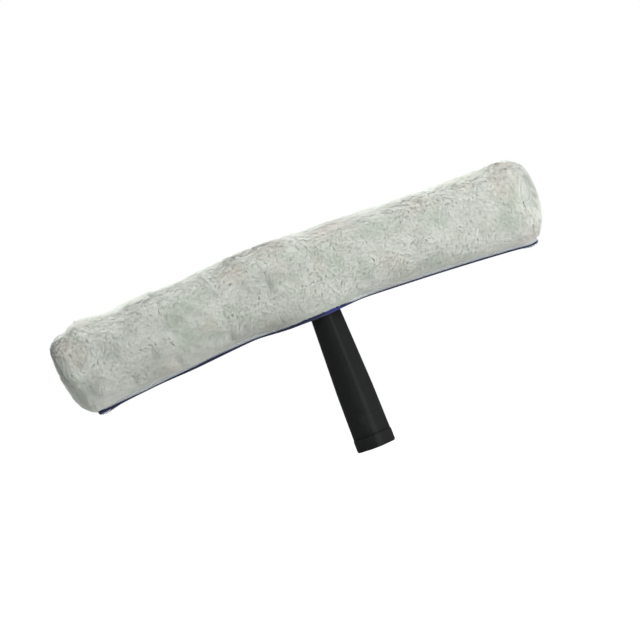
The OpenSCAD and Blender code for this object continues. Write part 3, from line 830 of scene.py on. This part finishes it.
ROW_X, ROW_FULL, ROW_LOW = sleeve_rows()
PHI = np.linspace(-90, 270, 145)
GRID_PHI = np.broadcast_to(PHI, (len(ROW_X), len(PHI)))
SKIN = outside(ROW_X[:, None], ROW_FULL[:, None], ROW_LOW[:, None], GRID_PHI)
SKIN_NORMAL = skin_normals(SKIN)
SKIN = SKIN + SKIN_NORMAL * lumps(SKIN, GRID_PHI)[..., None]
SKIN_NORMAL = skin_normals(SKIN)
FRONT_FLAP = slice(0, 37)
BODY = slice(36, 109)
REAR_FLAP = slice(108, 145)


# The pile's dense lower part
def pocket_ring(count, gap):
    """The pocket's inside in Y and Z, a gap larger, from the front hinge line over the top to the rear."""
    half, top, radius = POCKET_HALF + gap, POCKET_TOP + gap, 5.5 + gap
    front = [[-half, HINGE_Z + 0.15]]
    for a in np.radians(np.linspace(180, 90, 8)):
        front.append([-half + radius + radius * math.cos(a), top - radius + radius * math.sin(a)])
    front = np.array(front)
    path = np.vstack([front, front[::-1] * [-1, 1]])
    length = np.concatenate([[0], np.cumsum(np.linalg.norm(np.diff(path, axis=0), axis=1))])
    steps = np.linspace(0, length[-1], count)
    return np.column_stack([np.interp(steps, length, path[:, k]) for k in (0, 1)])


def relief(points):
    """Fine ridges of packed fibre."""
    return 0.5 * noise(points * [1, 1, 0.6], 3.0, 5) + 0.35 * noise(points, 1.6, 6)


def painted_gap_shade(points):
    """Tint of the dense lower pile, with shade painted darker in the gaps between its ridges."""
    return 0.5 + 0.35 * relief(points)


def shade_base(ob, outer):
    """Put the patches of painted shade on a slab's outside."""
    put_attribute(ob, "painted_shade", np.concatenate([painted_shade_at(outer).ravel(), np.zeros(outer[..., 0].size)]))


def base_of_body():
    outer = SKIN[:, BODY] - SKIN_NORMAL[:, BODY] * BASE_DEPTH
    outer = outer + SKIN_NORMAL[:, BODY] * relief(outer)[..., None]
    ring = pocket_ring(outer.shape[1], 0.4)
    past = np.maximum(POCKET_LEFT - 0.4 - ROW_X, ROW_X - POCKET_RIGHT - 0.4)
    shrink = 1 - 0.93 * np.clip(past / 15, 0, 1)
    climb = between(end_middle(ROW_X), HINGE_Z, ROW_FULL) - HINGE_Z
    centre = np.array([0.0, HINGE_Z + 0.3])
    inner = np.empty_like(outer)
    inner[..., 0] = np.clip(ROW_X, SLEEVE_LEFT + END_THICKNESS, SLEEVE_RIGHT - END_THICKNESS)[:, None]
    inner[..., 1:] = centre + (ring - centre) * shrink[:, None, None]
    inner[..., 2] += climb[:, None]
    ob = slab("pile_base_body", outer, inner, painted_gap_shade(outer))
    shade_base(ob, outer)
    return dress(ob, PILE_BASE, "sleeve", ["sleeve_body"])


def flap_lining(x, full, low_full, count):
    """The front flap's inside, from the hem up to the hinge line, in rows along the bar."""
    share = np.linspace(0, 1, count)[None]
    x, full, low_full = x[:, None], full[:, None], low_full[:, None]
    middle = end_middle(x)
    low = between(middle, HEM_LINE(x) + 0.8 * bound_at(x), low_full)
    slope, hinge = between(middle, SLOPE_BOTTOM, full), between(middle, HINGE_Z, full)
    straight = share < 0.6
    up = np.where(straight, share / 0.6, (share - 0.6) / 0.4)
    z = np.where(straight, between(low, slope, up), between(slope, hinge, up))
    half = between(0.1, inside_at(x), bound_at(x)) * full
    y = np.where(straight, half, between(half, POCKET_HALF * full, up))
    return xyz(x, -y, z)


def on_side(rear, *grids):
    """Grids made for the front, or their mirror images for the rear, still facing out."""
    return [grid[:, ::-1] * [1, -1, 1] if rear else grid for grid in grids]


def bend_with(ob):
    """Bake the piece's placement into its mesh."""
    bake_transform(ob)


def bases_of_flaps():
    """The dense lower pile of both flaps, thin at the bound edge."""
    lining = flap_lining(ROW_X, ROW_FULL, ROW_LOW, 37)
    lining = lining + grid_normals(lining) * 0.4
    lining[..., 0] = np.clip(lining[..., 0], SLEEVE_LEFT + END_THICKNESS, SLEEVE_RIGHT - END_THICKNESS)
    thin = smooth((PHI[:37] + 90) / 32)[None, :, None]
    for flap, columns in (("front_flap", FRONT_FLAP), ("rear_flap", REAR_FLAP)):
        rear = flap == "rear_flap"
        depth = thin[:, ::-1] if rear else thin
        outer = SKIN[:, columns] - SKIN_NORMAL[:, columns] * between(0.1, BASE_DEPTH, depth)
        outer = outer + SKIN_NORMAL[:, columns] * relief(outer)[..., None] * depth
        ob = slab(f"pile_base_{flap}", outer, *on_side(rear, lining), painted_gap_shade(outer))
        shade_base(ob, outer)
        dress(ob, PILE_BASE, None, [flap])
        bend_with(ob)


def linings():
    """The knitted backing cloth: the pocket with its closed ends, and the inside of each flap."""
    inset = np.array([0.0, 0.5, 1.5, 3.0])
    gather = np.array([0.03, 0.45, 0.86, 1.0])
    middle = np.linspace(POCKET_LEFT + 6, POCKET_RIGHT - 6, 200)
    x = np.concatenate([POCKET_LEFT - 0.1 + inset, middle, (POCKET_RIGHT + 0.1 - inset)[::-1]])
    shrink = np.concatenate([gather, np.ones(len(middle)), gather[::-1]])[:, None]
    ring = pocket_ring(73, 0.0)
    inner = xyz(x[:, None], ring[:, 0] * shrink, ring[:, 1])
    outer = inner + grid_normals(inner) * CLOTH
    outer[..., 0] = np.clip(outer[..., 0], POCKET_LEFT - 0.5, POCKET_RIGHT + 0.5)
    sheets = [dress(slab("backing_body", outer, inner), BACKING, "sleeve")]
    along = (ROW_X > HEM_LEFT - 1) & (ROW_X < HEM_RIGHT + 1)
    inside = flap_lining(ROW_X[along], ROW_FULL[along], ROW_LOW[along], 37)
    outside_face = inside + grid_normals(inside) * CLOTH
    for flap in ("front_flap", "rear_flap"):
        grids = on_side(flap == "rear_flap", outside_face, inside)
        sheets.append(dress(slab(f"backing_{flap}", *grids), BACKING, None))
        bend_with(sheets[-1])
    return sheets


base_of_body()
bases_of_flaps()
BACKINGS = linings()

# Strands of pile
STRANDS = 150000
STRAND_DEPTH = 0.4
STRAND_LENGTHS, STRAND_RADII = (4.2, 6.4), (0.25, 0.38)
SWIRLS = ((26, 0.6, 11), (9, 0.4, 13), (3.5, 0.25, 15))  # size, strength and seed
TUFTS = (900, 5000)
TUFT_PULL = 0.16
STRAND_FACES = 16
MOST_FACES = 190000
STEPS = np.array([0.0, 0.4, 0.72, 1.0])


def pick_spots(rng, count):
    """Random spots spread evenly over the pile's outside: place, normal, upward direction and angle."""
    a, b, c, d = SKIN[:-1, :-1], SKIN[1:, :-1], SKIN[1:, 1:], SKIN[:-1, 1:]
    area = np.linalg.norm(np.cross(c - a, d - b), axis=-1).ravel()
    cell = rng.choice(len(area), count, p=area / area.sum())
    i, j = np.divmod(cell, SKIN.shape[1] - 1)
    u, v = rng.random((2, count, 1))

    def blend(grid):
        low = grid[i, j] * (1 - u) + grid[i + 1, j] * u
        high = grid[i, j + 1] * (1 - u) + grid[i + 1, j + 1] * u
        return low * (1 - v) + high * v

    round_it = unit(np.gradient(SKIN, axis=1))
    return blend(SKIN), unit(blend(SKIN_NORMAL)), unit(blend(round_it)), blend(GRID_PHI[..., None])[:, 0]


def strand_lines(rng, place, normal, round_it, phi):
    """Centre lines of strands: they stand up from the cloth and lie over in slow swirls and small tufts."""
    count = len(place)
    hem_side = smooth((np.maximum(-phi, phi - 180) - 60) / 28)[:, None]
    along = unit(np.cross(round_it, normal))
    combed = smooth(np.abs(phi - 90) / 60)[:, None]
    combed = unit(combed * np.where(phi < 90, -1.0, 1.0)[:, None] * round_it + (1.02 - combed) * along)
    heading = (0.75 + 0.3 * hem_side) * combed
    for size, share, seed in SWIRLS:
        swirl = noise(place, size, seed)[:, None] * along + noise(place, size, seed + 1)[:, None] * round_it
        heading = heading + share * (1 - 0.6 * hem_side) * swirl
    heading = heading + 0.3 * (rng.normal(size=(count, 1)) * along + rng.normal(size=(count, 1)) * round_it)
    flatness = np.minimum(np.linalg.norm(heading, axis=1, keepdims=True), 1.2)
    heading = unit(heading) * (0.35 + 0.4 * flatness)
    from_end = np.minimum(place[:, :1] - SLEEVE_LEFT, SLEEVE_RIGHT - place[:, :1])
    reach = rng.uniform(*STRAND_LENGTHS, (count, 1)) * between(1.0, 0.55, hem_side)
    reach = reach * between(0.45, 1.0, smooth(from_end / 8))
    depth = between(BASE_DEPTH + 1.2, 0.6, hem_side)
    lift = rng.uniform(-0.5, 0.6, (count, 1)) * between(1.0, 0.5, hem_side)
    stations = []
    for t in STEPS:
        up = between(-depth, lift, 1 - (1 - t) ** 2.2)
        stations.append(place + normal * up + heading * reach * t**1.5)
    lines = np.stack(stations, 1)
    root = lines[:, 0]
    for guides in TUFTS:
        tree = KDTree(guides)
        for k in range(guides):
            tree.insert(root[k], k)
        tree.balance()
        near = np.array([tree.find(p)[1] for p in root])
        strength = (TUFT_PULL * rng.uniform(0.2, 1.0, count))[:, None, None] * (STEPS**1.3)[:, None]
        target = lines[near] + (root - root[near])[:, None] * 0.3
        lines = lines + (target - lines) * strength
    return lines


def soften(ob, lines, normal):
    """Shade a strand mostly as the felted surface that it lies in."""
    n, stations = lines.shape[:2]
    along = unit(np.gradient(lines, axis=1))
    own = unit(normal[:, None] - along * (along * normal[:, None]).sum(-1, keepdims=True))
    blended = unit(own * 0.2 + normal[:, None])
    vertices = np.concatenate([np.repeat(blended[:, :-1], 3, axis=1), blended[:, -1:]], 1)
    ob.data.normals_split_custom_set_from_vertices(vertices.reshape(-1, 3).astype(np.float32))


def grow_pile():
    """All the pile, in pieces that ride on the sleeve and pieces that lie over the flaps."""
    rng = np.random.default_rng(7)
    place, normal, round_it, phi = pick_spots(rng, STRANDS)
    lines = strand_lines(rng, place, normal, round_it, phi)
    low = hem_low(lines[..., 0]) + PILE_START
    hem = bound_at(lines[..., 0]) > 0.3
    lines[..., 2] = np.where(hem & (lines[..., 2] < low), low + 0.25 * (lines[..., 2] - low), lines[..., 2])
    width = rng.uniform(*STRAND_RADII, (len(place), 1)) * np.array([1.0, 0.95, 0.7, 0.0])
    shade = 0.06 * rng.normal(size=(len(place), 1)) + 0.08 * noise(place, 9, 21)[:, None]
    # Tint rises from root to tip: the darker roots are painted shade deep in the pile, with a random tone for
    # each strand on top.
    tint = np.clip(np.array([0.3, 0.6, 0.85, 1.0]) + shade, 0, 1)
    # Painted shade for each strand's place on the front.
    painted_shade = painted_shade_at(place)
    pieces = {}
    zones = {"body": (phi >= 0) & (phi <= 180), "front_flap": phi < 0, "rear_flap": phi > 180}
    for zone, inside in zones.items():
        found = np.flatnonzero(inside)
        found = found[np.argsort(place[found, 0], kind="stable")]
        node = "sleeve_body" if zone == "body" else zone
        pieces[zone] = []
        for k, part in enumerate(np.array_split(found, math.ceil(len(found) * STRAND_FACES / MOST_FACES))):
            # With three sides, one edge of each strand stands up and the lamps reach both faces beside it
            into = -normal[part][:, None]
            ob = swept(f"pile_{zone}_{k + 1}", lines[part], width[part], 3, into, tint[part], STRAND_DEPTH)
            put_attribute(ob, "painted_shade", np.repeat(painted_shade[part], 3 * (len(STEPS) - 1) + 1))
            soften(ob, lines[part], normal[part])
            pieces[zone].append(dress(ob, PILE, "sleeve" if zone == "body" else None, [node]))
            if zone != "body":
                bend_with(ob)
    return pieces


PILE_PIECES = grow_pile()

# Hems, tapes and seams
STITCH_PITCH = 1.9
REAR_SAG = 1.0
TAIL_LENGTH, TAIL_RADIUS, TAIL_WRAPS = 13.0, 1.95, 8
TAPE_BACK, TAPE_FACE, LOOPS = -1.72, -1.05, 1500


def stitches(name, x, stations, radius, tint):
    """Threads at each x, through (x offset, y, height) stations that may change along the bar."""
    paths = np.stack([xyz(x + dx, y, z) for dx, y, z in stations], 1)
    reference = np.cross(unit(paths[:, -1] - paths[:, 0]) + [0.3, 0, 0.2], [0.0, 0.0, 1.0])
    return swept(name, paths, radius, 5, unit(reference)[:, None], tint)


def twisted(name, x, y, z, radius, turn_radius, tint):
    """Two threads twisted round each other along the bar."""
    paths = []
    for k in range(2):
        a = TURN * (x / STITCH_PITCH + k) / 2
        paths.append(xyz(x, y + turn_radius * np.cos(a), z + turn_radius * np.sin(a)))
    return swept(name, np.array(paths), radius, 6, [0.0, 0.0, 1.0], tint)


def tail(flap, side, low_at):
    """The rolled left end of a hem: a core, a thread wound round it and a pale stripe."""
    t = np.linspace(0, 1, 60)
    x = between(HEM_LEFT - 0.4, HEM_LEFT + TAIL_LENGTH, t)
    swell = TAIL_RADIUS * np.sqrt(np.clip(t / 0.08, 0.03, 1)) * (1 - 0.68 * t)
    y, z = side * between(2.2, 4.0, t), low_at(x) + between(1.0, 0.7, t)
    turn = TURN * TAIL_WRAPS * t
    core = xyz(x, y, z)
    wrap = xyz(x, y + swell * np.cos(turn), z + swell * np.sin(turn))
    stripe = xyz(between(HEM_LEFT + 2.2, HEM_LEFT + 9.0, t), y + side * 0.85 * swell, z - 0.75 * swell)
    radii = np.array([0.95 * swell, np.full(60, 0.3), 0.75 * np.sqrt(np.clip(np.sin(np.pi * t), 0.05, 1))])
    radii[:, -1] = 0.1
    shades = np.array([[0.45], [0.5], [0.12]])
    return swept(f"tail_{flap}", np.array([core, wrap, stripe]), radii, 8, [0.0, 0.0, 1.0], shades)


def hem(flap):
    """The overlocked edge: its cloth, thread legs over it, twisted loopers along it, and a rolled tail."""
    rear = flap == "rear_flap"
    side = 1 if rear else -1

    def low_at(x):
        return hem_low(x) - (REAR_SAG * smooth((x - 142) / 9) if rear else 0)

    def faded_at(x):
        return 0.36 * smooth((x - 143) / 5) if rear else 0 * x

    def navy_at(x):
        return 0.5 + 0.42 * np.exp(-(((x - 6) / 7.5) ** 2)) - faded_at(x)

    edge_x = np.linspace(HEM_LEFT, HEM_RIGHT + 0.8, 180)[:, None]
    up = np.linspace(0, 1, 5)[None]
    high = low_at(edge_x) + between(0.4, STRIP_HEIGHT + 0.6, up)
    thick = inside_at(edge_x) + between(0.35, EDGE_THICKNESS - 0.1, np.sin(np.pi * (0.15 + 0.6 * up)))
    outer = xyz(edge_x, -thick, high)
    inner = xyz(edge_x, -(inside_at(edge_x) + 0.3), high)
    parts = [slab(f"edge_{flap}", *on_side(rear, outer, inner), 0.04 + 0 * high)]

    x = np.arange(HEM_LEFT + 1.2, HEM_RIGHT + 0.4, STITCH_PITCH)
    x = x + 0.12 * noise(xyz(x, 0, 0), 3, 31)
    low, inside, weight, navy = low_at(x), inside_at(x), HEM_WEIGHT(x), navy_at(x)
    rise = STRIP_HEIGHT + 0.3 + 0.25 * noise(xyz(x, 0, 0), 4, 32)
    out = EDGE_THICKNESS
    threads = {  # x offset, depth from the flap's inside, height, radius and tint
        "legs": (
            (-0.35, out - 0.1, rise, 0.18, 0.04),
            (-0.25, out + 0.1, between(weight + 0.7, rise, 0.6), 0.2, 0.05),
            (-0.1, out + 0.15, weight + 0.5, 0.22, 0.1), (0.0, out + 0.2, 0.75 * weight, 0.28, navy),
            (0.1, out - 0.2, 0.25, 0.26, navy), (0.25, 1.1, 0.2, 0.3, navy),
            (0.35, 0.35, 0.6, 0.3, navy - 0.1), (0.45, 0.3, 1.8, 0.28, 0.3 - 0.6 * faded_at(x)),
            (0.55, 0.6, 3.0, 0.2, 0.1),
        ),
        "slants": (
            (0.1, out - 0.05, rise - 0.2, 0.12, 0.02),
            (0.6, out + 0.1, between(weight, rise, 0.5), 0.15, 0.04),
            (1.3, out + 0.12, weight + 0.1, 0.13, 0.2),
        ),
        "needle_row": (
            (-0.85, out - 0.15, rise - 0.05, 0.14, 0), (-0.4, out + 0.1, rise, 0.2, 0),
            (0.4, out + 0.1, rise, 0.2, 0), (0.85, out - 0.15, rise - 0.05, 0.1, 0),
        ),
    }
    for kind, rows in threads.items():
        stations = [(dx, side * (inside + depth), low + height) for dx, depth, height, _, _ in rows]
        tints = np.stack([tint + 0 * x for *_, tint in rows], 1)
        parts.append(stitches(f"{kind}_{flap}", x, stations, np.array([row[3] for row in rows]), tints))

    fine = np.arange(HEM_LEFT, HEM_RIGHT + 1.3, 0.42)
    weight, hidden = HEM_WEIGHT(fine), 0.45 - faded_at(fine)
    taper = smooth((HEM_RIGHT + 1.3 - fine) / 1.2) * smooth((fine - HEM_LEFT + 0.6) / 2) + 0.05
    for kind, depth, height, radius, turn_radius, tint in (
        ("front", out + 0.05, weight / 2, 0.34 * weight, 0.16 * weight, navy_at(fine)),
        ("under", 1.2, 0.45, 0.3, 0.18, hidden), ("inside", 0.5, 1.1, 0.3, 0.2, hidden),
    ):
        y, z = side * (inside_at(fine) + depth), low_at(fine) + height
        parts.append(twisted(f"looper_{kind}_{flap}", fine, y, z, radius * taper, turn_radius, tint))
    ob = joined(f"overlock_{flap}", *parts, tail(flap, side, low_at))
    return dress(ob, HEM_THREAD, flap, [flap.replace("flap", "hem")])


def tape(node):
    """A woven strip sewn on a flap's inside, with its field of hooks or of loops, and its stitching."""
    low, high = node_box(node)
    kind = "hook" if "hook" in node else "loop"
    hooks = kind == "hook"
    inward = 1 if hooks else -1
    rng = np.random.default_rng(41 + len(node) + int(low[0]) % 7)
    x, z = np.linspace(low[0], high[0], 90), np.linspace(low[2], high[2], 12)
    grid = xyz(x[:, None], inward, z)
    edge = np.minimum(np.abs(z - low[2]), np.abs(z - high[2]))[None, :]
    back, face = grid.copy(), grid.copy()
    back[..., 1] = TAPE_BACK
    face[..., 1] = TAPE_BACK + 0.12 + 0.62 * smooth(edge / 0.8 + 0.2) + 0.06 * noise(grid, 7, 43)
    web = slab(f"web_{node}", *on_side(not hooks, back, face))
    if hooks:
        places = np.arange(low[0] + 1.2, high[0] - 1, 1.25), np.arange(low[2] + 1.4, high[2] - 1.2, 1.15)
        spots = np.stack(np.meshgrid(*places, indexing="ij"), -1)
        spots[:, ::2, 0] += 0.6
        spots = spots.reshape(-1, 2)
        turn = rng.normal(0, 0.25, len(spots)) + np.where(np.arange(len(spots)) % 2, 0, math.pi)
        shape = [(0.0, 0.0), (0.02, 0.3), (0.1, 0.58), (0.32, 0.7), (0.5, 0.55), (0.5, 0.42)]
        radius = np.array([0.14, 0.11, 0.1, 0.1, 0.09, 0.06])
    else:
        spots = rng.uniform((low[0] + 0.8, low[2] + 0.9), (high[0] - 0.8, high[2] - 0.9), (LOOPS, 2))
        turn = rng.uniform(0, TURN, len(spots))
        shape = [(0.0, 0.0), (0.1, 0.4), (0.35, 0.66), (0.7, 0.6), (0.95, 0.25), (0.9, 0.0)]
        radius = np.full(6, 0.07)
    grow = rng.uniform(0.85, 1.1, len(spots))
    x, z = spots.T
    paths = [xyz(x + a * np.cos(turn), inward * (TAPE_FACE + b * grow), z + a * np.sin(turn)) for a, b in shape]
    parts = [web, swept(f"field_{node}", np.stack(paths, 1), radius, 4, [0.31, 0.2, 0.93], 1.0)]
    dash = np.arange(low[0] + 1.5, high[0] - 1.5, 2.6)
    sunk, proud = inward * (TAPE_FACE - 0.1), inward * (TAPE_FACE + 0.12)
    for k, height in enumerate((low[2] + 0.75, high[2] - 0.75)):
        stations = [(-0.95, sunk, height), (-0.6, proud, height), (0.6, proud, height), (0.95, sunk, height)]
        parts.append(stitches(f"seam_{k}_{node}", dash, stations, np.array([0.12, 0.16, 0.16, 0.08]), 1.0))
    flap, material = ("front_flap", HOOK_TAPE) if hooks else ("rear_flap", LOOP_TAPE)
    return dress(joined(f"{node}_woven", *parts), material, flap, [node])


def end_seam(node):
    """The overlocked seam that closes an end of the pocket."""
    low, high = node_box(node)
    inner = 1 if node.startswith("left") else -1
    root = low[0] if inner > 0 else high[0]
    z = np.arange(low[2] + 0.8, high[2] - 0.4, STITCH_PITCH)
    stations = [  # into the sleeve, across and up
        (0.0, -1.9, -0.3), (0.6, -1.85, -0.1), (0.75, -0.8, 0.0), (0.75, 0.8, 0.1), (0.6, 1.85, 0.2),
        (0.0, 1.9, 0.3),
    ]
    paths = [xyz(root + inner * dx, y, z + dz) for dx, y, dz in stations]
    loops = swept(f"loops_{node}", np.stack(paths, 1), 0.26, 5, [0.2, 0.3, 1.0], 0.5)
    fine = np.arange(low[2] + 0.2, high[2], 0.4)
    cords = []
    for y in (-1.5, -0.75, 0.0, 0.75, 1.5):
        a = TURN * fine / (2 * STITCH_PITCH) + y
        cords.append(xyz(root + inner * (0.4 + 0.08 * np.cos(a)), y + 0.12 * np.sin(a), fine))
    body = swept(f"cords_{node}", np.array(cords), 0.36, 6, [1.0, 0.0, 0.0], 0.35)
    ob = joined(f"{node}_threads", loops, body)
    return dress(ob, HEM_THREAD, "sleeve", [node])


HEMS = {flap: hem(flap) for flap in ("front_flap", "rear_flap")}
TAPES = {name: tape(f"{name}_tape") for name in ("left_hook", "right_hook", "left_loop", "right_loop")}
SEAMS = [end_seam(node) for node in ("left_end_seam", "right_end_seam")]
